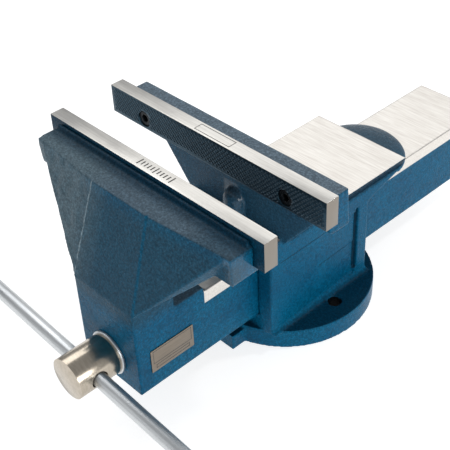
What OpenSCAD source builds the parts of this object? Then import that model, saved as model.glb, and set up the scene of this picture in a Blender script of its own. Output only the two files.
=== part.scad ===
// Bench vise with 200 mm jaws, a square sliding beam and a fixed round base.
// X runs along the jaws, Y along the screw towards the rear, Z is up.
// The origin is the middle of the underside of the base, on the line of the two anchor bolts.

/* [Jaws] */
// Length of both jaw plates
jaw_w = 200; // [196:1:230]
// Height of the jaw plates' top above the bench
jaw_top = 168; // [166:1:180]
// Height of a jaw plate
plate_h = 21; // [20:0.5:22]
// Thickness of a jaw plate
plate_t = 10.5; // [10:0.5:12]
// Jaw opening at rest
opening = 41; // [30:1:60]

/* [Slide] */
// Width of the sliding beam
slide_w = 59; // [56:1:60]
// Height of the sliding beam's top above the bench
slide_top = 80.6; // [80:0.2:81]
// Height of the sliding beam's underside above the bench
slide_bottom = 27; // [26:1:28]
// Height of the screw's axis above the bench
axis_z = 48; // [47:0.5:49]

/* [Body] */
// Width of the anvil and of the housing
anvil_w = 86; // [84:1:90]
// Height of the anvil above the bench
anvil_top = 97; // [96:1:99]
// Radius of the round base flange
flange_r = 67.5; // [65:0.5:75]
// Thickness of the base flange
flange_t = 16; // [14:1:17]
// Distance from the centre of the base to an anchor bolt
bolt_x = 51; // [50:1:53]
// Radius of an anchor bolt hole
bolt_r = 5; // [4.5:0.5:6]

/* [Screw and handle] */
// Radius of the screw's thread and journal
spindle_r = 12.5; // [12:0.5:13]
// Radius of the screw's head
head_r = 15; // [14.5:0.5:16]
// Radius of the handle bar
bar_r = 5.2; // [4.6:0.2:6]
// Free length of the handle bar between its knobs
bar_free = 240; // [200:5:260]
// How far the handle bar stands to the right of centre
bar_shift = 7; // [0:1:40]
// How far the screw and its handle are turned, right end down
handle_tilt = 4; // [0:1:15]

/* [Hidden] */
$fn = 64;

paint = "#2a5672";
steel = "#c9c3ba";
zinc = "#b9bcbe";

slip = 0.3;            // gap all round the beam in its tunnel
run = 0.08;            // radial running clearance of the screw
over = 1;              // how far a cutter runs past a face

fixed_grip = -68;      // gripping face of the fixed jaw
house_front = fixed_grip + plate_t;
house_rear = 43.6;
anvil_rear = 84.5;
moving_grip = fixed_grip - opening;
moving_back = moving_grip - plate_t;
beam_front = moving_grip - 56;
beam_length = 363;
beam_rear = beam_front + beam_length;
wall = 8;              // side walls of the beam
roof = 10;             // top wall of the beam
front_wall = 25;       // solid front of the beam that carries the screw
neck_rear = beam_front + 34;
neck_z = anvil_top;    // top of the moving jaw's square front block

lip_top = jaw_top - 6;
shelf_z = jaw_top - plate_h;
screw_x = 66;          // jaw plate screws, from the middle
screw_z = shelf_z + 7.5;
screw_r = 4;
screw_head_r = 5.6;

head_front = beam_front - 35;
head_back = beam_front - 2.4;
bar_y = beam_front - 20;
spindle_end = beam_front + 342;

nut_y0 = -35;
nut_y1 = 20;
nut_z0 = 24;
nut_w = 36;
nut_bolt_r = 5;
nut_bolts_y = [nut_y0 + 12, nut_y1 - 12];
bolt_head_r = 8;
bolt_head_h = 9;
bolt_seat_z = 14;      // roof of the counterbores under the floor
nut_washer_t = 2;

// A block given by its lowest and highest corners
module box(a, b) { translate(a) cube(b - a); }

// A cylinder along Y from y0 to y1 at x = 0 on the screw's axis
module y_cylinder(r, y0, y1, x = 0, z = axis_z) {
  translate([x, y1, z]) rotate([90, 0, 0]) cylinder(r = r, h = y1 - y0);
}

// A side profile of [y, z] points, extruded across the width between x0 and x1
module side_profile(points, x0, x1) {
  translate([x0, 0, 0]) rotate([90, 0, 90]) linear_extrude(x1 - x0) polygon(points);
}

// A front profile of [x, z] points, extruded along Y between y0 and y1
module front_profile(points, y0, y1) {
  translate([0, y1, 0]) rotate([90, 0, 0]) linear_extrude(y1 - y0) polygon(points);
}

// ---- Fixed jaw, housing and base ----

// The tunnel for the beam, with the slip gap all round
module tunnel() {
  box([-slide_w/2 - slip, house_front - over, slide_bottom - slip],
      [slide_w/2 + slip, anvil_rear + 50, slide_top + slip]);
}

module base_flange() {
  cylinder(r = flange_r, h = flange_t, $fn = 128);
  // tongue under the beam
  box([-22, fixed_grip - 8, 0], [22, 0, 13]);
}

module housing() {
  half = anvil_w/2;
  foot = 3;            // flare where the sides meet the flange
  front_profile([[-half - foot, flange_t - over], [half + foot, flange_t - over], [half + foot, flange_t],
                 [half, flange_t + foot], [half, anvil_top], [-half, anvil_top],
                 [-half, flange_t + foot], [-half - foot, flange_t]], house_front, house_rear);
}

// The anvil table behind the housing, thinner towards its rear edge
module anvil() {
  side_profile([[house_rear - over, slide_top - 1.6], [anvil_rear, anvil_top - 5.7], [anvil_rear, anvil_top],
                [house_rear - over, anvil_top]], -anvil_w/2, anvil_w/2);
  box([-slide_w/2 - 4, house_rear - over, slide_top - 2], [slide_w/2 + 4, anvil_rear, anvil_top]);
}

// The rounded hood that closes the step down from the anvil to the beam
module hood() {
  hood_r = 38;
  hood_h = anvil_top - slide_top - slip;
  steps = 10;
  curve = [for (i = [0:steps]) [hood_r * cos(90 * i/steps), hood_h * sin(90 * i/steps)]];
  intersection() {
    translate([0, anvil_rear - 5.5, slide_top + slip])
      rotate_extrude($fn = 96)
        polygon(concat([[0, 0]], curve));
    box([-hood_r, anvil_rear - over, slide_top], [hood_r, anvil_rear + hood_r, anvil_top]);
  }
}

// Neck that widens from the housing up to the jaw lip, buttressed at the rear
module fixed_neck() {
  half = anvil_w/2;
  lip_half = jaw_w/2 - 6;
  lip_low = jaw_top - 34;
  spread = 78.5;       // half width of the neck where it meets the lip
  neck_foot = 91.5;    // height where the neck starts to widen
  front_profile([[-half, 70], [half, 70], [half, neck_foot], [spread, lip_low], [spread, lip_top],
                 [-spread, lip_top], [-spread, lip_low], [-half, neck_foot]], house_front + 10, -41);
  // the lip itself, with the plate's shelf
  side_profile([[house_front, lip_low + 2], [house_front, lip_top], [-41, lip_top],
                [-39.5, lip_low], [house_front + 2, lip_low]], -lip_half, lip_half);
  side_profile([[-42, anvil_top - over], [-42, lip_low], [-18, anvil_top], [-18, anvil_top - over]],
               -half + 6, half - 6);
  // round boss on the front of the neck
  translate([0, house_front + 10, anvil_top - over]) cylinder(r = 9, h = 14);
  translate([0, house_front + 10, anvil_top + 13]) sphere(r = 9);
}

// A shallow wedge off each side of the housing that deepens from y0 to y1
module side_step(y0, y1, z0, z1, deep) {
  half = anvil_w/2;
  for (s = [-1, 1]) translate([0, 0, z0]) linear_extrude(z1 - z0)
    polygon([[s * half, y0], [s * (half + over), y0], [s * (half + over), y1], [s * (half - deep), y1]]);
}

// The undercut below the anvil's machined top, along both sides
module anvil_undercut() {
  half = anvil_w/2;
  rim = anvil_top - 5.7;
  for (s = [-1, 1])
    front_profile([[s * half, anvil_top - 0.6], [s * (half - 1.8), rim], [s * half, rim - 1],
                   [s * (half + over), rim - 1], [s * (half + over), anvil_top - 0.6]],
                  -41, anvil_rear + over);
}

module fixed_body() {
  color(paint) difference() {
    union() { base_flange(); housing(); anvil(); hood(); fixed_neck(); }
    tunnel();
    for (s = [-1, 1]) {
      translate([s * bolt_x, 0, -over]) cylinder(r = bolt_r, h = flange_t + 2 * over);
      // core joint line down the rear of each side
      box([s > 0 ? anvil_w/2 - 3 : -anvil_w/2 - over, 30, 24],
          [s > 0 ? anvil_w/2 + over : -anvil_w/2 + 3, 32.5, 80]);
    }
    side_step(-50, 30 + over/2, flange_t + 3, 77, 1.5);
    side_step(-12, 30 + over/2, flange_t + 3, 50, 2.6);
    anvil_undercut();
    // pocket where the nut stands
    box([-nut_w/2 - slip, nut_y0 - slip, nut_z0], [nut_w/2 + slip, nut_y1 + slip, slide_bottom]);
    for (y = nut_bolts_y) translate([0, y, 0]) {
      translate([0, 0, -over]) cylinder(r = nut_bolt_r + 0.4, h = nut_z0 + 2 * over);
      translate([0, 0, -over]) cylinder(r = bolt_head_r + 3, h = bolt_seat_z + over);
    }
    plate_screw_holes(house_front, 1);
  }
}

// ---- Jaw plates and their screws ----

// Threaded holes behind a jaw plate; dir is +1 for the fixed jaw and -1 for the moving jaw
module plate_screw_holes(back, dir) {
  end = back + dir * 15;
  for (s = [-1, 1])
    y_cylinder(screw_r + 0.05, min(back, end), max(back, end), s * screw_x, screw_z);
}

// A jaw plate from its gripping face back; the screws pass through stepped holes
module jaw_plate(grip, dir) {
  back = grip + dir * plate_t;
  head_floor = grip + dir * 5.5;
  color(steel) difference() {
    box([-jaw_w/2, min(grip, back), shelf_z], [jaw_w/2, max(grip, back), jaw_top]);
    for (s = [-1, 1]) {
      y_cylinder(screw_r + 0.3, min(grip, back) - over, max(grip, back) + over, s * screw_x, screw_z);
      y_cylinder(screw_head_r + 0.3, min(grip - dir * over, head_floor), max(grip - dir * over, head_floor),
                 s * screw_x, screw_z);
    }
  }
}

module fixed_jaw_plate() { jaw_plate(fixed_grip, 1); }
module moving_jaw_plate() { jaw_plate(moving_grip, -1); }

// A hexagon socket screw whose head is sunk below the gripping face
module plate_screw(grip, dir, x) {
  head0 = grip + dir * 0.8;
  head1 = grip + dir * 5.5;
  tip = grip + dir * (plate_t + 14);
  color("dimgray") difference() {
    union() {
      y_cylinder(screw_head_r, min(head0, head1), max(head0, head1), x, screw_z);
      y_cylinder(screw_r, min(head1, tip), max(head1, tip), x, screw_z);
    }
    translate([x, head0 + dir * 1, screw_z]) rotate([90, 0, 0])
      cylinder(r = 3, h = 5, center = true, $fn = 6);
  }
}

module fixed_plate_screw_left() { plate_screw(fixed_grip, 1, -screw_x); }
module fixed_plate_screw_right() { plate_screw(fixed_grip, 1, screw_x); }
module moving_plate_screw_left() { plate_screw(moving_grip, -1, -screw_x); }
module moving_plate_screw_right() { plate_screw(moving_grip, -1, screw_x); }

// ---- Moving jaw ----

// The beam: a channel open underneath, solid at its front end
module beam() {
  difference() {
    box([-slide_w/2, beam_front, slide_bottom], [slide_w/2, beam_rear, slide_top]);
    box([-slide_w/2 + wall, beam_front + front_wall, slide_bottom - over],
        [slide_w/2 - wall, beam_rear + over, slide_top - roof]);
  }
}

// The front column and its two flanks, spreading up to the lip
module moving_neck() {
  half = slide_w/2;
  box([-half, beam_front, slide_top - over], [half, neck_rear, neck_z]);
  box([-half, neck_rear - over, slide_top - over], [half, neck_rear + 25, slide_top + 3.4]);
  thin = 0.5;
  hull() {
    box([-half, beam_front, neck_z - thin], [half, neck_rear, neck_z]);
    box([-26, moving_back - 23.5, lip_top - thin], [26, moving_back, lip_top]);
    box([-77, moving_back - 17, shelf_z - 5], [77, moving_back, shelf_z - 5 + thin]);
    box([-88, moving_back - 18, lip_top - thin], [88, moving_back, lip_top]);
  }
}

// The lip behind the plate, with the shelf under it and the low wall that backs it
module moving_lip() {
  lip_half = jaw_w/2 - 8.5;
  side_profile([[moving_back - 17.5, shelf_z - 5], [moving_back - 18.5, lip_top], [moving_back, lip_top],
                [moving_back, shelf_z], [moving_back + 4, shelf_z - 0.02], [moving_back + 4, shelf_z - 5]],
               -lip_half, lip_half);
  side_profile([[moving_back - 4.5, lip_top - over], [moving_back - 3, lip_top + 3.5],
                [moving_back, lip_top + 3.5], [moving_back, lip_top - over]], -lip_half + 2, lip_half - 2);
}

module moving_body() {
  color(paint) difference() {
    union() { beam(); moving_neck(); moving_lip(); }
    y_cylinder(spindle_r + run, beam_front - over, beam_front + front_wall + 20);
    plate_screw_holes(moving_back, -1);
    // recess for the nameplate
    box([slide_w/2 - 0.6, beam_front + 10.5, 41], [slide_w/2 + over, beam_front + 47, 59.8]);
  }
}

module nameplate() {
  color(steel) box([slide_w/2 - 0.6, beam_front + 10.5, 41], [slide_w/2 + 0.4, beam_front + 47, 59.8]);
}

// ---- Screw, its keepers and its nut ----

spring_y = beam_front + front_wall;
pin_y = spring_y + 24;
collar_gap = 0.1;      // running clearance between the turning collar and its washer

// Turns what rides on the screw by the handle's angle
module turned() {
  translate([0, 0, axis_z]) rotate([0, handle_tilt, 0]) translate([0, 0, -axis_z]) children();
}

module spindle() {
  color(steel) turned() difference() {
    union() {
      y_cylinder(head_r, head_front, head_back);
      y_cylinder(spindle_r, head_back, spindle_end);
    }
    // cross hole for the handle bar, with flared mouths
    translate([-head_r - over, bar_y, axis_z]) rotate([0, 90, 0])
      cylinder(r = bar_r + 0.3, h = 2 * (head_r + over));
    for (s = [-1, 1]) translate([s * (head_r + 0.5), bar_y, axis_z]) rotate([0, -s * 90, 0])
      cylinder(r1 = bar_r + 1.4, r2 = bar_r + 0.3, h = 3);
    translate([0, pin_y, axis_z - spindle_r - over]) cylinder(r = 3, h = 2 * (spindle_r + over));
  }
}

// A plain ring round the screw
module ring(outer, y0, y1, gap = 0.3) {
  difference() {
    y_cylinder(outer, y0, y1);
    y_cylinder(spindle_r + gap, y0 - over, y1 + over);
  }
}

module thrust_washer() { color(zinc) ring(16.2, head_back, beam_front); }
module spindle_spring() { color(zinc) ring(16.2, spring_y, spring_y + 14, 0.6); }
module spring_washer() { color(zinc) ring(16.4, spring_y + 14, spring_y + 17); }

module retaining_collar() {
  color(zinc) turned() difference() {
    ring(16.4, spring_y + 17 + collar_gap, spring_y + 31, 0.02);
    translate([0, pin_y, axis_z - 20]) cylinder(r = 3, h = 40);
  }
}

module retaining_pin() {
  color("dimgray") turned() translate([0, pin_y, axis_z - 16]) cylinder(r = 3, h = 32);
}

// Nut block that stands on the floor of the housing, inside the hollow beam
module spindle_nut() {
  nut_top = 64;
  half = nut_w/2;
  color("darkgoldenrod") difference() {
    front_profile([[-half, nut_z0], [half, nut_z0], [half, nut_top - 7], [half - 7, nut_top],
                   [-half + 7, nut_top], [-half, nut_top - 7]], nut_y0, nut_y1);
    y_cylinder(spindle_r + run, nut_y0 - over, nut_y1 + over);
    for (y = nut_bolts_y) translate([0, y, nut_z0 - over]) cylinder(r = nut_bolt_r + 0.05, h = 10.5 + over);
  }
}

module nut_bolt(y) {
  head_z = bolt_seat_z - nut_washer_t;
  color("dimgray") translate([0, y, 0]) difference() {
    union() {
      translate([0, 0, head_z - bolt_head_h]) cylinder(r = bolt_head_r, h = bolt_head_h);
      translate([0, 0, head_z]) cylinder(r = nut_bolt_r, h = nut_z0 + 9.5 - head_z);
    }
    translate([0, 0, head_z - bolt_head_h - over]) cylinder(r = 4.6, h = 5 + over, $fn = 6);
  }
}

module nut_washer(y) {
  color(zinc) translate([0, y, bolt_seat_z - nut_washer_t]) difference() {
    cylinder(r = bolt_head_r + 2, h = nut_washer_t);
    translate([0, 0, -over]) cylinder(r = nut_bolt_r + 0.3, h = nut_washer_t + 2 * over);
  }
}

module nut_bolt_front() { nut_bolt(nut_bolts_y[0]); }
module nut_bolt_rear() { nut_bolt(nut_bolts_y[1]); }
module nut_washer_front() { nut_washer(nut_bolts_y[0]); }
module nut_washer_rear() { nut_washer(nut_bolts_y[1]); }

// ---- Handle ----

tenon_r = 4;           // reduced ends of the bar that carry the knobs
tenon_l = 16;

module handle_bar() {
  color(zinc) turned() translate([bar_shift, bar_y, axis_z]) rotate([0, 90, 0]) {
    cylinder(r = bar_r, h = bar_free, center = true);
    cylinder(r = tenon_r, h = bar_free + 2 * tenon_l, center = true);
  }
}

// A rounded barrel knob pressed on an end of the bar
module handle_knob(side) {
  knob_r = 12.5;
  knob_l = 22;
  corner = 5;
  steps = 6;
  side_r = knob_r - corner;
  angles = [for (i = [0:steps]) 90 * i/steps];
  inner_round = [for (a = angles) [side_r + corner * sin(a), corner - corner * cos(a)]];
  outer_round = [for (a = angles) [side_r + corner * cos(a), knob_l - corner + corner * sin(a)]];
  color("#3a2c28") turned()
    translate([bar_shift + side * bar_free/2, bar_y, axis_z]) rotate([0, side * 90, 0]) difference() {
      rotate_extrude() polygon(concat([[0, 0]], inner_round, outer_round, [[0, knob_l]]));
      translate([0, 0, -over]) cylinder(r = tenon_r, h = tenon_l + over);
    }
}

module handle_knob_left() { handle_knob(-1); }
module handle_knob_right() { handle_knob(1); }

fixed_body();
moving_body();
fixed_jaw_plate();
moving_jaw_plate();
fixed_plate_screw_left();
fixed_plate_screw_right();
moving_plate_screw_left();
moving_plate_screw_right();
spindle();
thrust_washer();
spindle_spring();
spring_washer();
retaining_collar();
retaining_pin();
spindle_nut();
nut_bolt_front();
nut_bolt_rear();
nut_washer_front();
nut_washer_rear();
handle_bar();
handle_knob_left();
handle_knob_right();
nameplate();
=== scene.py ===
import math

import bmesh
import bpy
from mathutils import Matrix, Vector, noise


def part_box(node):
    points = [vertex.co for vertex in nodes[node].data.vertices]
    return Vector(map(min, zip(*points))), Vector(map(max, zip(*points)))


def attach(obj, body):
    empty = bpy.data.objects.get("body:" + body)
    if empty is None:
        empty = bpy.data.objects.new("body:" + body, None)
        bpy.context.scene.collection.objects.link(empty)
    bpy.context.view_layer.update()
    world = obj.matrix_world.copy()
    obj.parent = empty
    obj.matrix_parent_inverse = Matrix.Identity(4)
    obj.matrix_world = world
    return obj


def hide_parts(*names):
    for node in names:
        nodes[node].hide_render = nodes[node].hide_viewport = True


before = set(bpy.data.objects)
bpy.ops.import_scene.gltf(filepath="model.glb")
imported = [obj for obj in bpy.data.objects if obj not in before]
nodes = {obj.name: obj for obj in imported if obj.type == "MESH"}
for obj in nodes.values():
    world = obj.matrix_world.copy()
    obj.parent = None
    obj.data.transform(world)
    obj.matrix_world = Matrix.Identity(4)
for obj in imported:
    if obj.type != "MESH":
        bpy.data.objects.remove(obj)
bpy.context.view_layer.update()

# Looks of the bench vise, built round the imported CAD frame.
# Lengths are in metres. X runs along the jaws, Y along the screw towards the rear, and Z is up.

MM = 0.001


# ---- Places, read from the frame ----

def low(node):
    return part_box(node)[0]


def high(node):
    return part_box(node)[1]


def middle(node, axis):
    """The middle of a node's box along "x", "y" or "z"."""
    return (getattr(low(node), axis) + getattr(high(node), axis)) / 2


AXIS_Z = middle("spindle", "z")
BEAM_TOP = 80.6 * MM
BARE_STRIP = 10 * MM              # depth of the bare strip down each side of the beam
STEP_END = low("moving_body").y + 59 * MM    # rear end of the low step behind the front block
ANVIL_TOP = 97 * MM
HOUSING_SIDE = 40 * MM            # X beyond which a point belongs to the housing's right side
JAW_TOP = high("fixed_jaw_plate").z
MOVING_LIP = low("moving_jaw_plate").y - 14 * MM
LIP_TOP = 162 * MM
NECK_FOOT = 97 * MM               # height where the moving jaw's neck starts
RIDGE_TOP = (26.2 * MM, -143 * MM, LIP_TOP)      # ends of the ridge down the right of that neck
RIDGE_FOOT = (29.5 * MM, -165 * MM, NECK_FOOT)
SCREW_HEAD_R = 5.6 * MM           # plate screws
SPINDLE_R = 12.5 * MM
LEAD = 6 * MM


# ---- Small helpers ----

def new_object(name, bm):
    mesh = bpy.data.meshes.new(name)
    bm.to_mesh(mesh)
    bm.free()
    obj = bpy.data.objects.new(name, mesh)
    bpy.context.scene.collection.objects.link(obj)
    return obj


def shade(obj, degrees=35):
    """Smooth shading, with hard edges where faces meet at more than this angle."""
    mesh = obj.data
    mesh.polygons.foreach_set("use_smooth", [True] * len(mesh.polygons))
    mesh.set_sharp_from_angle(angle=math.radians(degrees))


def paint(obj, material):
    obj.data.materials.clear()
    obj.data.materials.append(material)


def place(obj, body, slot, *replaced):
    """Rides on a body and stands for the CAD nodes named, which it hides. slot is not used."""
    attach(obj, body)
    if replaced:
        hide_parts(*replaced)
    return obj


def apply_modifiers(obj):
    depsgraph = bpy.context.evaluated_depsgraph_get()
    mesh = bpy.data.meshes.new_from_object(obj.evaluated_get(depsgraph))
    obj.modifiers.clear()
    obj.data = mesh


def copy_of(node, name):
    """A new object with the CAD node's shape, its points merged and its flat faces joined."""
    bm = bmesh.new()
    bm.from_mesh(nodes[node].data)
    bmesh.ops.remove_doubles(bm, verts=bm.verts, dist=0.01 * MM)
    bmesh.ops.dissolve_limit(bm, angle_limit=math.radians(0.5), verts=bm.verts, edges=bm.edges)
    return new_object(name, bm)


def bevelled(node, name, width, segments=2):
    """The CAD node's shape with its sharp edges rounded off by this width."""
    obj = copy_of(node, name)
    bevel = obj.modifiers.new("bevel", "BEVEL")
    bevel.width = width
    bevel.segments = segments
    bevel.limit_method = "ANGLE"
    bevel.angle_limit = math.radians(40)
    apply_modifiers(obj)
    shade(obj)
    return obj


# ---- Materials ----

class Nodes:
    """Short calls for building a material's node tree."""

    def __init__(self, name):
        self.material = bpy.data.materials.new(name)
        self.material.use_nodes = True
        self.tree = self.material.node_tree
        self.tree.nodes.clear()
        self.shader = self.add("ShaderNodeBsdfPrincipled")
        self.output = self.add("ShaderNodeOutputMaterial")
        self.link(self.shader, "BSDF", self.output, "Surface")
        self.coords = self.add("ShaderNodeTexCoord")

    def add(self, kind, **settings):
        node = self.tree.nodes.new(kind)
        for key, value in settings.items():
            setattr(node, key, value)
        return node

    def link(self, a, out, b, into):
        self.tree.links.new(a.outputs[out], b.inputs[into])

    def set(self, **sockets):
        for key, value in sockets.items():
            self.shader.inputs[key.replace("_", " ")].default_value = value

    def stretched(self, scale):
        mapping = self.add("ShaderNodeMapping")
        mapping.inputs["Scale"].default_value = scale
        self.link(self.coords, "Object", mapping, "Vector")
        return mapping

    def noise(self, scale, detail=2.0, roughness=0.5, stretch=None):
        tex = self.add("ShaderNodeTexNoise")
        tex.inputs["Scale"].default_value = scale
        tex.inputs["Detail"].default_value = detail
        tex.inputs["Roughness"].default_value = roughness
        if stretch:
            self.link(self.stretched(stretch), "Vector", tex, "Vector")
        else:
            self.link(self.coords, "Object", tex, "Vector")
        return tex

    def ramp(self, source, out, stops):
        ramp = self.add("ShaderNodeValToRGB")
        elements = ramp.color_ramp.elements
        while len(elements) < len(stops):
            elements.new(0.5)
        for element, (position, colour) in zip(elements, stops):
            element.position = position
            element.color = colour if len(colour) == 4 else (*colour, 1.0)
        self.link(source, out, ramp, "Fac")
        return ramp

    def bump(self, source, out, strength, distance, below=None):
        bump = self.add("ShaderNodeBump")
        bump.inputs["Strength"].default_value = strength
        bump.inputs["Distance"].default_value = distance
        self.link(source, out, bump, "Height")
        if below:
            self.link(below, "Normal", bump, "Normal")
        return bump

    def math(self, operation, a, b):
        node = self.add("ShaderNodeMath", operation=operation)
        for i, value in enumerate((a, b)):
            if isinstance(value, (int, float)):
                node.inputs[i].default_value = value
            else:
                self.tree.links.new(value, node.inputs[i])
        return node.outputs[0]

    def times(self, a, b):
        return self.math("MULTIPLY", a, b)

    def into(self, output, socket):
        """Feeds an output into one of the shader's own sockets."""
        self.tree.links.new(output, self.shader.inputs[socket])

    def mix(self, factor, a, b):
        node = self.add("ShaderNodeMix", data_type="RGBA")
        self.tree.links.new(factor, node.inputs[0])
        for index, value in ((6, a), (7, b)):
            if isinstance(value, tuple):
                node.inputs[index].default_value = value
            else:
                self.tree.links.new(value, node.inputs[index])
        return node.outputs[2]


BLUE = (0.001, 0.083, 0.165, 1)
BLUE_DEEP = (0.001, 0.066, 0.138, 1)
BLUE_PALE = (0.004, 0.092, 0.170, 1)
PAINTED_SHEEN = (0.036, 0.072, 0.104, 1)    # painted grey sheen on faces that look up and on the fixed neck's front
PAINTED_SHADE = (0.001, 0.022, 0.045, 1)    # painted shade in corners, creases, undercuts and on faces in shadow
SHADE = (0.002, 0.004, 0.006, 1)   # inside a bolt hole
# painted grey sheen on the lips' tops
LIP_SHEEN = (0.120, 0.165, 0.205, 1)
# painted shade with a grey sheen on the moving neck's front
NECK_SHADE_AND_SHEEN = (0.018, 0.052, 0.078, 1)
# painted grey sheen on the moving jaw's left flank
FLANK_SHEEN = (0.085, 0.130, 0.155, 1)
# painted highlight along the left ridge of the moving neck
LEFT_RIDGE_HIGHLIGHT = (0.220, 0.290, 0.330, 1)
# painted blue highlight along the right ridge of the moving neck
RIGHT_RIDGE_HIGHLIGHT = (0.0, 0.072, 0.140, 1)
PEEL = 0.60                       # bump strength of the paint's fine orange peel
LUMPS = 0.28                      # bump strength of the casting's coarser skin
BARE = (0.80, 0.77, 0.72, 1)
BARE_DARK = (0.66, 0.62, 0.57, 1)


def axis_mask(m, axis, above=None, below=None, source="Object", soft=0.25 * MM):
    """1 where a coordinate lies between the limits, with a soft edge."""
    split = m.add("ShaderNodeSeparateXYZ")
    if source == "Object":
        m.link(m.coords, "Object", split, "Vector")
    else:
        m.link(m.add("ShaderNodeNewGeometry"), "Normal", split, "Vector")
    value = split.outputs["XYZ".index(axis)]
    result = None
    for limit, sign in ((above, 1), (below, -1)):
        if limit is None:
            continue
        scaled = m.times(m.math("SUBTRACT", value, limit), sign / soft)
        step = m.add("ShaderNodeClamp")
        m.tree.links.new(m.math("ADD", scaled, 0.5), step.inputs[0])
        result = step.outputs[0] if result is None else m.times(result, step.outputs[0])
    return result


def facing_up(m, start, full):
    """0 on walls and undersides, rising to 1 on level faces that look up."""
    return axis_mask(m, "Z", above=(start + full) / 2, source="Normal", soft=full - start)


def box_mask(m, soft=1 * MM, **limits):
    """1 inside limits given as x=(low, high), y=(...) or z=(...), each end None where it is open."""
    result = None
    for axis, (start, end) in limits.items():
        part = axis_mask(m, axis.upper(), above=start, below=end, soft=soft)
        result = part if result is None else m.times(result, part)
    return result


def ridge_mask(m, start, end, width):
    """1 along the straight line between two points."""
    start, end = Vector(start), Vector(end)
    away = m.add("ShaderNodeVectorMath", operation="SUBTRACT")
    m.link(m.coords, "Object", away, 0)
    away.inputs[1].default_value = start
    cross = m.add("ShaderNodeVectorMath", operation="CROSS_PRODUCT")
    m.link(away, 0, cross, 0)
    cross.inputs[1].default_value = (end - start).normalized()
    length = m.add("ShaderNodeVectorMath", operation="LENGTH")
    m.link(cross, 0, length, 0)
    near = m.add("ShaderNodeMapRange")
    m.link(length, "Value", near, "Value")
    near.inputs["From Min"].default_value = width
    near.inputs["From Max"].default_value = 0.4 * width
    return m.times(near.outputs[0], box_mask(m, z=(end.z, start.z)))


def fixed_zones(m):
    """Painted shade and sheen laid over parts of the fixed casting, each with its mask."""
    # painted grey sheen on the fixed neck's front
    neck = box_mask(m, 8 * MM, y=(None, -40 * MM), z=(95 * MM, 134 * MM))
    # painted shadow on the flange top
    flange_top = m.times(facing_up(m, 0.5, 0.9), box_mask(m, z=(None, 18 * MM)))
    # painted grey sheen on the lip's top
    lip = m.times(facing_up(m, 0.6, 0.95), box_mask(m, z=(158 * MM, None)))
    bolt_hole = box_mask(m, 0.4 * MM, x=(45.8 * MM, 56.2 * MM), y=(-5.2 * MM, 5.2 * MM), z=(None, 15.6 * MM))
    side = (HOUSING_SIDE, None)
    # painted shade in the creases and groove of the housing's right side and in the undercut under the
    # anvil's rim
    upper_crease = box_mask(m, 0.4 * MM, y=(-48 * MM, 30 * MM), z=(76.5 * MM, 77.4 * MM), x=side)
    lower_crease = box_mask(m, 0.4 * MM, y=(-8 * MM, 30 * MM), z=(49.6 * MM, 50.4 * MM), x=side)
    groove = box_mask(m, 0.6 * MM, y=(29.8 * MM, 32.6 * MM), z=(23 * MM, 81 * MM), x=(38 * MM, 42.6 * MM))
    rim_height = (ANVIL_TOP - 6 * MM, ANVIL_TOP - 0.4 * MM)
    anvil_rim = box_mask(m, 0.6 * MM, x=side, y=(-40 * MM, None), z=rim_height)
    return [(m.times(neck, 0.55), PAINTED_SHEEN), (m.times(flange_top, 0.85), PAINTED_SHADE), (m.times(lip, 0.85), LIP_SHEEN),
            (bolt_hole, SHADE), (upper_crease, PAINTED_SHADE), (lower_crease, PAINTED_SHADE), (groove, PAINTED_SHADE), (anvil_rim, PAINTED_SHADE)]


def moving_zones(m):
    """Painted shade, sheen and highlights laid over parts of the moving casting, each with its mask."""
    # painted shade with a grey sheen on the moving neck's front
    neck = box_mask(m, 10 * MM, y=(None, -128 * MM), z=(86 * MM, 158 * MM))
    level = box_mask(m, 20 * MM, x=(None, 60 * MM), z=(150 * MM, 168 * MM))
    # painted grey sheen on the lip's top
    lip = m.times(facing_up(m, 0.6, 0.95), level)
    # painted grey sheen on the moving jaw's left flank
    left_flank = box_mask(m, 30 * MM, x=(None, -24 * MM), z=(90 * MM, None))
    # painted shade on the wall behind the moving plate
    behind_plate = box_mask(m, 7 * MM, y=(-130 * MM, None), z=(160 * MM, None))
    mirrored = [(-x, y, z) for x, y, z in (RIDGE_TOP, RIDGE_FOOT)]
    # painted highlight along the left ridge of the moving neck
    left_ridge = ridge_mask(m, *mirrored, 0.9 * MM)
    # painted blue highlight along the right ridge of the moving neck
    right_ridge = ridge_mask(m, RIDGE_TOP, RIDGE_FOOT, 1.7 * MM)
    return [(m.times(neck, 0.62), NECK_SHADE_AND_SHEEN), (m.times(lip, 0.5), LIP_SHEEN),
            (m.times(left_flank, 0.8), FLANK_SHEEN), (m.times(behind_plate, 0.9), PAINTED_SHADE),
            (m.times(left_ridge, 0.7), LEFT_RIDGE_HIGHLIGHT), (right_ridge, RIGHT_RIDGE_HIGHLIGHT)]


def plate_zones(m):
    """The painted back of a jaw plate lies in its lip's shade."""
    # painted shade over the plate's back above the lip
    return [(m.times(box_mask(m, z=(130 * MM, None)), 0.85), PAINTED_SHADE)]


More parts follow.
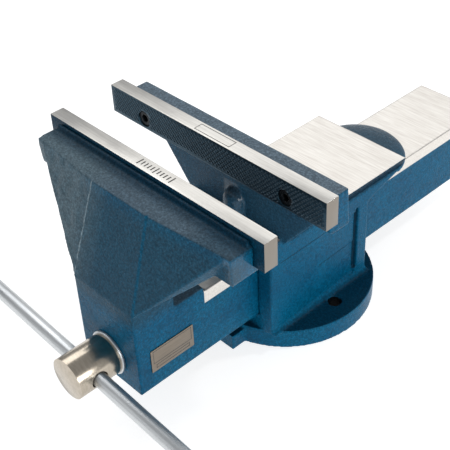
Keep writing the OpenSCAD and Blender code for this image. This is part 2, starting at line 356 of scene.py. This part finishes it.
def cast_paint(name, bare_test=None, zones=None, wet=None):
    """Blue enamel with an orange-peel skin and a painted grey sheen on faces that look up. bare_test gives
    the mask of the machined places, zones the painted shade, sheen and highlights laid over parts of it, and
    wet the limits of a place where the paint ran thick and glossy."""
    m = Nodes(name)
    m.set(Metallic=0.0, IOR=1.5, Specular_IOR_Level=0.06)
    patches = m.noise(28, 3, 0.6)
    colour = m.ramp(patches, "Fac", [(0.3, BLUE_DEEP), (0.55, BLUE), (0.8, BLUE_PALE)])
    level = facing_up(m, 0.15, 0.95)
    if bare_test:
        level = m.times(level, box_mask(m, 8 * MM, z=(40 * MM, None)))
    # painted grey sheen on faces that look up
    colour = m.mix(level, colour.outputs[0], PAINTED_SHEEN)
    for mask, tone in zones(m) if zones else ():
        colour = m.mix(mask, colour, tone)
    peel = m.noise(700, 3, 0.7)
    speckle = m.ramp(peel, "Fac", [(0.36, (0.70,) * 3), (0.5, (1.0,) * 3), (0.66, (1.55,) * 3)])
    grainy = m.add("ShaderNodeVectorMath", operation="MULTIPLY")
    m.tree.links.new(colour, grainy.inputs[0])
    m.link(speckle, "Color", grainy, 1)
    colour = grainy.outputs[0]
    lumps = m.noise(150, 2, 0.5)
    coarse = m.bump(lumps, "Fac", LUMPS, 1.2 * MM)
    fine = m.bump(peel, "Fac", PEEL, 0.6 * MM, coarse)
    m.link(fine, "Normal", m.shader, "Normal")
    rough = m.ramp(m.noise(55, 3, 0.6), "Fac", [(0.3, (0.22,) * 3), (0.75, (0.38,) * 3)])
    if wet:
        drips = box_mask(m, 2 * MM, **wet)
        m.into(m.times(drips, 0.45), "Coat Weight")
        m.set(Coat_Roughness=0.08)
    if not bare_test:
        m.into(colour, "Base Color")
        m.link(rough, "Color", m.shader, "Roughness")
        return m.material
    mask = bare_test(m)
    grain = m.noise(900, 3, 0.65, stretch=(0.05, 1, 1))
    steel = m.ramp(grain, "Fac", [(0.3, BARE_DARK), (0.65, BARE)])
    m.into(m.mix(mask, colour, steel.outputs[0]), "Base Color")
    m.into(mask, "Metallic")
    steel_rough = m.ramp(grain, "Fac", [(0.3, (0.42,) * 3), (0.7, (0.30,) * 3)])
    m.into(m.mix(mask, rough.outputs[0], steel_rough.outputs[0]), "Roughness")
    not_mask = m.math("SUBTRACT", 1.0, mask)
    m.tree.links.new(m.times(not_mask, LUMPS), coarse.inputs["Strength"])
    m.tree.links.new(m.times(not_mask, PEEL), fine.inputs["Strength"])
    scratches = m.bump(grain, "Fac", 0.12, 0.10 * MM, fine)
    m.link(scratches, "Normal", m.shader, "Normal")
    return m.material


def anvil_mask(m):
    """The ground top of the anvil."""
    facing = axis_mask(m, "Z", above=0.8, source="Normal", soft=0.2)
    level = axis_mask(m, "Z", above=ANVIL_TOP - 0.5 * MM, below=ANVIL_TOP + 0.5 * MM)
    span = axis_mask(m, "Y", above=low("fixed_body").y + 20 * MM, below=84.2 * MM, soft=0.4 * MM)
    return m.times(m.times(facing, level), span)


def beam_mask(m):
    """The ground top of the beam and the strip down each side of it."""
    level = axis_mask(m, "Z", above=BEAM_TOP - BARE_STRIP, below=BEAM_TOP + 0.6 * MM)
    span = axis_mask(m, "Y", above=STEP_END)
    return m.times(level, span)


def bright_steel(name, base, dark, rough, stretch, scale=900, metallic=1.0, bump=0.12, shaded_wall=None):
    """Machined metal whose grain runs along the axis that stretch makes small. Walls can get a darker painted
    shade.
    """
    m = Nodes(name)
    grain = m.noise(scale, 3, 0.65, stretch=stretch)
    colour = m.ramp(grain, "Fac", [(0.3, dark), (0.68, base)]).outputs[0]
    if shaded_wall:
        colour = m.mix(facing_up(m, 0.2, 0.8), shaded_wall, colour)
    m.into(colour, "Base Color")
    cloud = m.ramp(m.noise(40, 3, 0.6), "Fac", [(0.3, (rough[0],) * 3), (0.75, (rough[1],) * 3)])
    m.link(cloud, "Color", m.shader, "Roughness")
    m.set(Metallic=metallic)
    m.link(m.bump(grain, "Fac", bump, 0.10 * MM), "Normal", m.shader, "Normal")
    return m.material


def make_materials():
    boss = dict(x=(-11 * MM, 11 * MM), y=(-59 * MM, -42 * MM), z=(97 * MM, 122 * MM))
    lip_end = dict(x=(86 * MM, None), z=(140 * MM, 161 * MM))
    return {
        "fixed_paint": cast_paint("fixed_paint", anvil_mask, fixed_zones, boss),
        "moving_paint": cast_paint("moving_paint", beam_mask, moving_zones, lip_end),
        "plain_paint": cast_paint("plain_paint", zones=plate_zones),
        # the plate's walls take a darker painted shade
        "plate": bright_steel("plate_steel", (0.74, 0.72, 0.68, 1), (0.60, 0.58, 0.54, 1),
                              (0.28, 0.42), (0.04, 1, 1), shaded_wall=(0.26, 0.235, 0.205, 1)),
        # dark blue-grey painted shade and reflection on the steel teeth
        "teeth": bright_steel("plate_teeth", (0.038, 0.075, 0.105, 1), (0.018, 0.040, 0.058, 1),
                              (0.34, 0.46), (1, 1, 1), 500),
        # lighter tips: a painted highlight on each tooth's flat top
        "tooth_tips": bright_steel("tooth_tips", (0.24, 0.33, 0.38, 1), (0.17, 0.25, 0.30, 1),
                                   (0.30, 0.42), (1, 1, 1), 500, metallic=0.2),
        "turned": bright_steel("turned_steel", (0.52, 0.46, 0.38, 1), (0.42, 0.37, 0.30, 1),
                               (0.18, 0.28), (0.2, 1, 0.2), 1200, bump=0.06),
        "zinc": bright_steel("zinc_plate", (0.64, 0.66, 0.67, 1), (0.55, 0.57, 0.58, 1),
                             (0.34, 0.44), (0.05, 1, 1), 700, bump=0.05),
        "black": bright_steel("black_oxide", (0.022, 0.026, 0.030, 1), (0.012, 0.014, 0.016, 1),
                              (0.38, 0.5), (1, 1, 1), 400, bump=0.08),
        "spring": bright_steel("spring_wire", (0.30, 0.30, 0.31, 1), (0.20, 0.20, 0.21, 1),
                               (0.30, 0.42), (1, 1, 1), 600),
        "bronze": bright_steel("nut_bronze", (0.55, 0.36, 0.15, 1), (0.40, 0.25, 0.10, 1),
                               (0.34, 0.48), (1, 1, 1), 300, bump=0.2),
        "knob": bright_steel("dark_knob", (0.060, 0.040, 0.034, 1), (0.040, 0.026, 0.022, 1),
                             (0.30, 0.42), (1, 1, 1), 350, metallic=0.0, bump=0.10),
        "label": bright_steel("label_plate", (0.26, 0.22, 0.18, 1), (0.21, 0.18, 0.145, 1),
                              (0.34, 0.46), (1, 0.06, 1), 900),
        "ink": bright_steel("engraved_ink", (0.07, 0.065, 0.06, 1), (0.05, 0.045, 0.04, 1),
                            (0.5, 0.6), (1, 1, 1), 300, metallic=0.0),
    }


# ---- Castings ----

def is_machined(node, co):
    """1 on a casting's machined faces, whose edges stay crisp, and 0 on its cast skin."""
    if node == "fixed_body":
        return 1.0 if co.z > ANVIL_TOP - 1.5 * MM and co.y > -20 * MM else 0.0
    near_beam = BEAM_TOP - BARE_STRIP < co.z < BEAM_TOP + 1 * MM and co.y > STEP_END
    return 1.0 if near_beam else 0.0


def roughness_of(node, co):
    """Depth of the sand-cast hollows at this point: only the moving jaw's left flank has them."""
    if node != "moving_body" or co.z < ANVIL_TOP or co.y > MOVING_LIP:
        return 0.0
    return 0.9 * MM * min(1.0, max(0.0, (-co.x - 12 * MM) / (18 * MM)))


def casting(node, name, material, voxel, rounds, skin):
    """A casting: the CAD shape remeshed, its edges rounded, and its skin made slightly uneven."""
    obj = copy_of(node, name)
    remesh = obj.modifiers.new("remesh", "REMESH")
    remesh.mode = "VOXEL"
    remesh.voxel_size = voxel
    apply_modifiers(obj)
    group = obj.vertex_groups.new(name="cast")
    weights = {}
    for v in obj.data.vertices:
        weight = 1.0 - 0.75 * is_machined(node, v.co)
        weights.setdefault(weight, []).append(v.index)
    for weight, indices in weights.items():
        group.add(indices, weight, "REPLACE")
    smooth = obj.modifiers.new("round", "SMOOTH")
    smooth.iterations = rounds
    smooth.factor = 0.5
    smooth.vertex_group = "cast"
    apply_modifiers(obj)
    normals = [v.normal.copy() for v in obj.data.vertices]
    for v, normal in zip(obj.data.vertices, normals):
        cast = 1.0 - is_machined(node, v.co)
        if cast > 0:
            wave = noise.noise(v.co * 55) * 0.7 + noise.noise(v.co * 170) * 0.3
            hollow = max(0.0, noise.noise(v.co * 150) + 0.25) * roughness_of(node, v.co)
            v.co -= normal * (skin * cast * (0.5 + 0.5 * wave) + hollow)
    shade(obj, 50)
    paint(obj, material)
    return obj


# ---- Jaw plates ----

TOOTH_PITCH = 3.4 * MM
TOOTH_HEIGHT = 0.42 * MM
TIP_SIZE = 0.52                   # width of a tooth's flat tip against its foot


def teeth(name, grip_y, outward, plate, screws):
    """Diamond teeth over a gripping face, left out round the screw heads and along the edges."""
    lo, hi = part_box(plate)
    margin = 0.2 * MM
    clear = SCREW_HEAD_R + 1 * MM
    half = TOOTH_PITCH / 2
    columns = int((hi.x - lo.x - 2 * margin) / half) - 1
    rows = int((hi.z - lo.z - 2 * margin) / half) - 1
    x0 = (lo.x + hi.x) / 2 - columns * half / 2
    z0 = (lo.z + hi.z) / 2 - rows * half / 2
    centres = [(middle(screw, "x"), middle(screw, "z")) for screw in screws]
    bm = bmesh.new()
    floor = {}

    def corner(i, j):
        if (i, j) not in floor:
            floor[i, j] = bm.verts.new((x0 + i * half, grip_y, z0 + j * half))
        return floor[i, j]

    for i in range(1, columns):
        for j in range(1, rows):
            if (i + j) % 2:
                continue
            x, z = x0 + i * half, z0 + j * half
            if any(math.hypot(x - cx, z - cz) < clear for cx, cz in centres):
                continue
            ring = [corner(i + 1, j), corner(i, j + 1), corner(i - 1, j), corner(i, j - 1)]
            if outward > 0:
                ring.reverse()
            tip = [bm.verts.new((x + (v.co.x - x) * TIP_SIZE, grip_y + outward * TOOTH_HEIGHT,
                                 z + (v.co.z - z) * TIP_SIZE)) for v in ring]
            for k in range(4):
                bm.faces.new((ring[k], ring[(k + 1) % 4], tip[(k + 1) % 4], tip[k]))
            # the flat tip takes the tip material's painted highlight
            bm.faces.new(tip).material_index = 1
            bm.faces.new(ring[::-1])
    return new_object(name, bm)


def tick_marks(name, centre_x, centre_y, top_z, length, count):
    """A short row of engraved graduation marks on a plate's top."""
    bm = bmesh.new()
    for i in range(count):
        x = centre_x + (i / (count - 1) - 0.5) * length
        tall = 6.0 * MM if i % 5 == 0 else 4.0 * MM
        mark = Matrix.Translation((x, centre_y, top_z)) @ Matrix.Diagonal((1.0 * MM, tall, 0.06 * MM, 1))
        bmesh.ops.create_cube(bm, size=1, matrix=mark)
    return new_object(name, bm)


def frame_mark(name, centre, size, line, normal_axis, depth=0.06 * MM):
    """A thin rectangular outline, lying flat across one axis."""
    bm = bmesh.new()
    u, v = [i for i in range(3) if i != normal_axis]
    for axis, other in ((u, v), (v, u)):
        for side in (-1, 1):
            place_at = Vector(centre)
            place_at[other] += side * size[other] / 2
            extent = [0, 0, 0]
            extent[axis] = size[axis] + line
            extent[other] = line
            extent[normal_axis] = depth
            shape = Matrix.Translation(place_at) @ Matrix.Diagonal((*extent, 1))
            bmesh.ops.create_cube(bm, size=1, matrix=shape)
    return new_object(name, bm)


# ---- Screw and spring ----

def helix_thread(name, y0, y1, major, depth, lead, segments=48, steps_per_turn=12):
    """A right-hand trapezoidal thread from y0 to y1, faded out and closed at both ends."""
    bm = bmesh.new()
    rows = int((y1 - y0) / lead * steps_per_turn)
    fade = lead * 0.8
    rings = []
    for r in range(rows + 1):
        y = y0 + (y1 - y0) * r / rows
        ends = min(1.0, (y - y0) / fade, (y1 - y) / fade)
        ring = []
        for k in range(segments):
            turn = k / segments
            phase = ((y - y0) / lead - turn) % 1.0
            wave = abs(phase - 0.5) * 2                    # 0 in the groove, 1 on the crest
            groove = min(1.0, max(0.0, (0.72 - wave) / 0.34))
            radius = major - depth * groove * max(0.0, ends)
            angle = 2 * math.pi * turn
            ring.append(bm.verts.new((radius * math.sin(angle), y, AXIS_Z + radius * math.cos(angle))))
        rings.append(ring)
    for a, b in zip(rings, rings[1:]):
        for k in range(segments):
            n = (k + 1) % segments
            bm.faces.new((a[k], b[k], b[n], a[n]))
    bm.faces.new(rings[0])
    bm.faces.new(rings[-1][::-1])
    bmesh.ops.recalc_face_normals(bm, faces=bm.faces)
    return new_object(name, bm)


def coil(name, node, wire, turns, sides=10, per_turn=36):
    """A coil spring that fills the node's box."""
    lo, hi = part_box(node)
    radius = (hi.x - lo.x) / 2 - wire
    y0, y1 = lo.y + wire, hi.y - wire
    bm = bmesh.new()
    count = int(turns * per_turn)
    rings = []
    for s in range(count + 1):
        angle = 2 * math.pi * s / per_turn
        y = y0 + (y1 - y0) * s / count
        out = Vector((math.cos(angle), 0, math.sin(angle)))
        centre = out * radius + Vector((0, y, AXIS_Z))
        rings.append([bm.verts.new(centre + wire * (out * math.cos(2 * math.pi * k / sides)
                                                     + Vector((0, 1, 0)) * math.sin(2 * math.pi * k / sides)))
                      for k in range(sides)])
    for a, b in zip(rings, rings[1:]):
        for k in range(sides):
            n = (k + 1) % sides
            bm.faces.new((a[k], b[k], b[n], a[n]))
    bm.faces.new(rings[0])
    bm.faces.new(rings[-1][::-1])
    bmesh.ops.recalc_face_normals(bm, faces=bm.faces)
    return new_object(name, bm)


# ---- The vise ----

def build_vise(mats):
    voxel = 0.8 * MM
    rounds = 5
    fixed = casting("fixed_body", "fixed_casting", mats["fixed_paint"], voxel, rounds, 0.2 * MM)
    place(fixed, "fixed_jaw", "blue_paint", "fixed_body")
    moving = casting("moving_body", "moving_casting", mats["moving_paint"], voxel, rounds, 0.2 * MM)
    place(moving, "moving_jaw", "blue_paint", "moving_body")

    jaws = (("fixed", "fixed_jaw", low("fixed_jaw_plate").y, -1),
            ("moving", "moving_jaw", high("moving_jaw_plate").y, 1))
    for side, body, grip_y, outward in jaws:
        node = side + "_jaw_plate"
        plate = bevelled(node, side + "_plate", 0.5 * MM)
        paint(plate, mats["plate"])
        plate.data.materials.append(mats["teeth"])
        plate.data.materials.append(mats["plain_paint"])
        middle_y = middle(node, "y")
        screw_z = middle(side + "_plate_screw_left", "z")
        screw_x = high(side + "_plate_screw_right").x - SCREW_HEAD_R
        # flat gripping faces take the teeth's painted shade, backs the plain paint with its painted shade
        for face in plate.data.polygons:
            near_screw = math.hypot(abs(face.center.x) - screw_x, face.center.z - screw_z) < 7 * MM
            if near_screw or abs(face.normal.y) > 0.9:
                face.material_index = 1 if (face.center.y - middle_y) * outward > 0 else 2
        place(plate, body, "ground_steel", node)
        screws = [f"{side}_plate_screw_{hand}" for hand in ("left", "right")]
        grip = teeth(side + "_plate_teeth", grip_y, outward, node, screws)
        paint(grip, mats["teeth"])
        grip.data.materials.append(mats["tooth_tips"])
        place(grip, body, "ground_steel")
        for screw in screws:
            socket = bevelled(screw, screw + "_rounded", 0.4 * MM)
            paint(socket, mats["black"])
            place(socket, body, "black_oxide", screw)

    top = JAW_TOP + 0.01 * MM
    ticks = tick_marks("moving_plate_ticks", 2 * MM, middle("moving_jaw_plate", "y"), top, 30 * MM, 11)
    paint(ticks, mats["ink"])
    place(ticks, "moving_jaw", "black_oxide")
    outline = frame_mark("fixed_plate_outline", (0, middle("fixed_jaw_plate", "y"), top),
                         (32 * MM, 6.6 * MM, 0), 0.5 * MM, 2)
    paint(outline, mats["ink"])
    place(outline, "fixed_jaw", "black_oxide")

    label = bevelled("nameplate", "label", 0.15 * MM)
    paint(label, mats["label"])
    place(label, "moving_jaw", "nameplate_metal", "nameplate")
    lo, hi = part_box("nameplate")
    x, y, z = hi.x + 0.01 * MM, middle("nameplate", "y"), middle("nameplate", "z")
    width, height = hi.y - lo.y, hi.z - lo.z
    outlines = (("label_panel", 0.16, 4 * MM, 0.54), ("label_field", -0.30, 8 * MM, 0.14))
    for name, rise, inset, tall in outlines:
        size = (0, width - inset, tall * height)
        border = frame_mark(name, (x, y, z + rise * height), size, 0.45 * MM, 0)
        paint(border, mats["ink"])
        place(border, "moving_jaw", "black_oxide")

    build_screw(mats)
    build_small_parts(mats)


def build_screw(mats):
    spindle = bevelled("spindle", "screw_head_and_shaft", 0.8 * MM)
    trim = bmesh.new()
    trim.from_mesh(spindle.data)
    thread_start = low("spindle_nut").y - 34 * MM
    geometry = trim.verts[:] + trim.edges[:] + trim.faces[:]
    bmesh.ops.bisect_plane(trim, geom=geometry, plane_co=(0, thread_start, 0), plane_no=(0, 1, 0),
                           clear_outer=True)
    bmesh.ops.holes_fill(trim, edges=[e for e in trim.edges if e.is_boundary])
    trim.to_mesh(spindle.data)
    trim.free()
    shade(spindle)
    paint(spindle, mats["turned"])
    place(spindle, "screw", "turned_steel", "spindle")
    thread = helix_thread("screw_thread", thread_start, high("spindle").y, SPINDLE_R, 2.2 * MM, LEAD)
    shade(thread, 28)
    paint(thread, mats["turned"])
    place(thread, "screw", "turned_steel")


def build_small_parts(mats):
    finishes = (
        ("thrust_washer", "moving_jaw", "zinc", "zinc_plate", 0.5),
        ("spring_washer", "moving_jaw", "zinc", "zinc_plate", 0.4),
        ("retaining_collar", "screw", "turned", "turned_steel", 0.8),
        ("retaining_pin", "screw", "black", "black_oxide", 0.6),
        ("spindle_nut", "fixed_jaw", "bronze", "nut_bronze", 1.0),
        ("nut_bolt_front", "fixed_jaw", "black", "black_oxide", 0.5),
        ("nut_bolt_rear", "fixed_jaw", "black", "black_oxide", 0.5),
        ("nut_washer_front", "fixed_jaw", "zinc", "zinc_plate", 0.3),
        ("nut_washer_rear", "fixed_jaw", "zinc", "zinc_plate", 0.3),
        ("handle_bar", "handle", "zinc", "zinc_plate", 0.5),
        ("handle_knob_left", "handle", "knob", "dark_knob", 0.4),
        ("handle_knob_right", "handle", "knob", "dark_knob", 0.4),
    )
    for node, body, finish, slot, width in finishes:
        piece = bevelled(node, node + "_rounded", width * MM)
        paint(piece, mats[finish])
        place(piece, body, slot, node)
    spring = coil("screw_spring", "spindle_spring", 1.5 * MM, 4)
    shade(spring, 60)
    paint(spring, mats["spring"])
    place(spring, "moving_jaw", "spring_steel", "spindle_spring")


# ---- Floor, light and camera ----

def build_stage():
    bm = bmesh.new()
    bmesh.ops.create_grid(bm, x_segments=1, y_segments=1, size=6)
    floor = new_object("floor", bm)
    m = Nodes("floor_white")
    m.set(Roughness=0.9, Base_Color=(0.55, 0.55, 0.55, 1), Specular_IOR_Level=0.0,
          Emission_Color=(1, 1, 1, 1), Emission_Strength=0.74)
    paint(floor, m.material)


def area_light(name, place_at, target, size, power):
    data = bpy.data.lights.new(name, "AREA")
    data.shape = "RECTANGLE"
    data.size, data.size_y = size
    data.energy = power
    light = bpy.data.objects.new(name, data)
    light.location = place_at
    light.rotation_euler = (Vector(target) - Vector(place_at)).to_track_quat("-Z", "Y").to_euler()
    bpy.context.scene.collection.objects.link(light)


def build_light():
    world = bpy.data.worlds.new("studio")
    world.use_nodes = True
    background = world.node_tree.nodes["Background"]
    background.inputs["Color"].default_value = (0.95, 0.97, 1.0, 1)
    background.inputs["Strength"].default_value = 0.42
    bpy.context.scene.world = world
    area_light("key", (-1.2, 0.1, 1.5), (0, 0, 0.1), (1.2, 1.2), 9)
    area_light("back", (-0.6, 1.4, 1.2), (0, 0, 0.1), (2.0, 1.2), 7)
    area_light("front", (-0.5, -1.5, 0.7), (0, 0, 0.1), (1.2, 0.7), 1.5)
    area_light("side", (1.5, -0.2, 0.5), (0, 0, 0.08), (0.8, 0.6), 9)
    area_light("glint", (0.5, 0.7, 1.3), (0, 0, 0.1), (0.12, 0.12), 3)
    bpy.context.scene.view_settings.view_transform = "Standard"


CAMERA_PLACE = (0.4074, -0.4225, 0.5220)
CAMERA_AZIMUTH, CAMERA_ELEVATION, CAMERA_ROLL = 48.2, 38.16, -2.97
CAMERA_LENS = 81.04               # on a 36 mm sensor


def build_camera():
    azimuth, elevation, roll = (math.radians(a) for a in (CAMERA_AZIMUTH, CAMERA_ELEVATION, CAMERA_ROLL))
    forward = Vector((-math.sin(azimuth) * math.cos(elevation), math.cos(azimuth) * math.cos(elevation),
                      -math.sin(elevation)))
    right = Vector((math.cos(azimuth), math.sin(azimuth), 0))
    up = right.cross(forward)
    tilted_right = right * math.cos(roll) + up * math.sin(roll)
    tilted_up = up * math.cos(roll) - right * math.sin(roll)
    data = bpy.data.cameras.new("camera")
    data.sensor_width = 36
    data.lens = CAMERA_LENS
    data.clip_start = 0.01
    camera = bpy.data.objects.new("camera", data)
    camera.matrix_world = Matrix((
        (tilted_right.x, tilted_up.x, -forward.x, CAMERA_PLACE[0]),
        (tilted_right.y, tilted_up.y, -forward.y, CAMERA_PLACE[1]),
        (tilted_right.z, tilted_up.z, -forward.z, CAMERA_PLACE[2]),
        (0, 0, 0, 1)))
    bpy.context.scene.collection.objects.link(camera)
    bpy.context.scene.camera = camera


build_camera()
build_vise(make_materials())
build_stage()
build_light()
